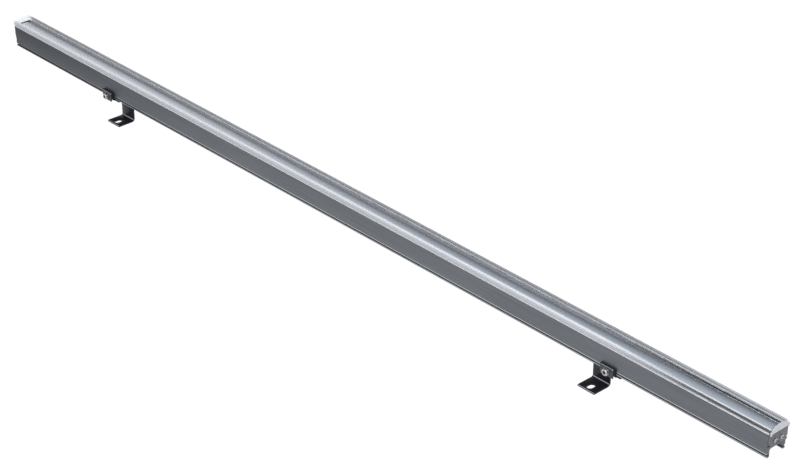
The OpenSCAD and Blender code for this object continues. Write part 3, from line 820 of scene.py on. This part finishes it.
def led_joints(work):
    for x in (-1, 1):
        for y in (-1, 1):
            block(work, (x * 1.95, y * 0.9, 0.1), (0.5, 1.2, 0.2), 0.08)


def chip(work):
    block(work, (0, 0, 0.8), (4.9, 3.9, 1.3), 0.15)


def chip_leads(work):
    for side in (-1, 1):
        for i in range(4):
            block(work, (1.27 * (i - 1.5), side * 2.1, 0.25), (0.4, 0.5, 0.5), 0.06)


def resistors(work):
    for side in (-1, 1):
        block(work, (0, side * RESISTOR_Y, 0.3), (1.3, 1.2, 0.5), 0.06)


def resistor_caps(work):
    for side in (-1, 1):
        for end in (-1, 1):
            block(work, (end * 0.8, side * RESISTOR_Y, 0.27), (0.4, 1.25, 0.54), 0.06)


first_led = board_low.x + PITCH / 2
first_part = board_low.x + PART_START * PITCH
bezels = row("led_bezels", bezel_white, template("bezel", bezel), first_led, LEDS)
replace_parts(bezels, *both("led_chips"))
row("led_beads", phosphor, template("bead", bead), first_led, LEDS)
row("led_joints", solder, template("led_joints", led_joints), first_led, LEDS)
parts = row("driver_chips", black_moulding, template("chip", chip), first_part, PARTS, "chips")
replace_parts(parts, *both("board_parts"))
row("chip_leads", solder, template("chip_leads", chip_leads), first_part, PARTS, "chips")
row("resistors", black_moulding, template("resistors", resistors), first_part, PARTS, "others")
row("resistor_caps", solder, template("caps", resistor_caps), first_part, PARTS, "others")

# %% [markdown]
# ## Floor, lamps and world
# The photograph has a white ground. To the camera and in reflections the floor gives that white
# itself, and keeps a share of its own shading, so that the feet still cast a shadow. The world is
# white in the same way, but darker overhead in reflections, so that the dome's top stays clear.
# Two softboxes stand in front of the bar: a large high one at the right, a long low one at the left.

# %% Floor
FLOOR_SIZE = 12.0
FLOOR_GLOW, FLOOR_WHITE, FLOOR_GREY = 0.9, 1.1, 0.85

half = FLOOR_SIZE / 2
floor_mesh = bpy.data.meshes.new("floor")
floor_mesh.from_pydata([(-half, -half, 0), (half, -half, 0), (half, half, 0), (-half, half, 0)],
                       [], [(0, 1, 2, 3)])
linked("floor", floor_mesh)


def seen_rays(graph):
    """1 for what the camera or a reflection or a clear piece shows, else 0."""
    camera_ray, glossy, through = (graph.node("ShaderNodeLightPath", out=f"Is {kind} Ray")
                                   for kind in ("Camera", "Glossy", "Transmission"))
    return (camera_ray + glossy + through).rise(0.0, 1.0)


ground = Finish("white_ground")
shaded = ground.node("ShaderNodeBsdfDiffuse", None, {"Color": (FLOOR_GREY, FLOOR_GREY, FLOOR_GREY, 1.0)})
glow = ground.node("ShaderNodeEmission", None, {"Color": (1.0, 1.0, 1.0, 1.0), "Strength": FLOOR_WHITE})
floor_mesh.materials.append(ground.done(ground.node(
    "ShaderNodeMixShader", None, {0: FLOOR_GLOW * seen_rays(ground), 1: shaded, 2: glow})))

# %% World
# The background keeps its node's own pale grey of 0.8, so four fifths of these levels count.
WORLD_LIGHT, WORLD_WHITE, OVERHEAD_LOSS = 0.6, 1.05, 0.6
world = bpy.data.worlds.new("studio")
world.use_nodes = True
bpy.context.scene.world = world
sky = Graph(world.node_tree)
looking = sky.node("ShaderNodeTexCoord", out="Generated")
height = sky.node("ShaderNodeSeparateXYZ", None, {0: looking}, out="Z")
glossy_ray = sky.node("ShaderNodeLightPath", out="Is Glossy Ray")
white = WORLD_WHITE - OVERHEAD_LOSS * height.rise(0.3, 0.6) * glossy_ray
level = WORLD_LIGHT + (white - WORLD_LIGHT) * seen_rays(sky)
background = sky.node("ShaderNodeBackground", None, {"Strength": level})
sky.tree.links.new(background.socket, sky.tree.nodes.new("ShaderNodeOutputWorld").inputs["Surface"])

# %% Lamps
def softbox(name, place, aim, width, depth, radiance):
    """A rectangular lamp that shines as brightly as the radiance says, whatever its size."""
    data = bpy.data.lights.new(name, "AREA")
    data.shape = "RECTANGLE"
    data.size, data.size_y = width, depth
    data.energy = math.pi * width * depth * radiance
    lamp = linked(name, data)
    lamp.location = place
    lamp.rotation_euler = (Vector(aim) - Vector(place)).to_track_quat("-Z", "Y").to_euler()
    print(f"{name}: {data.energy:.1f} W over {width} x {depth} m")


softbox("key_lamp", (1.1, -1.5, 1.6), (0.1, 0.0, 0.0), 1.6, 1.2, 6.5)
softbox("strip_lamp", (-1.2, -1.45, 0.5), (0.0, 0.0, 0.03), 2.0, 0.12, 3.0)
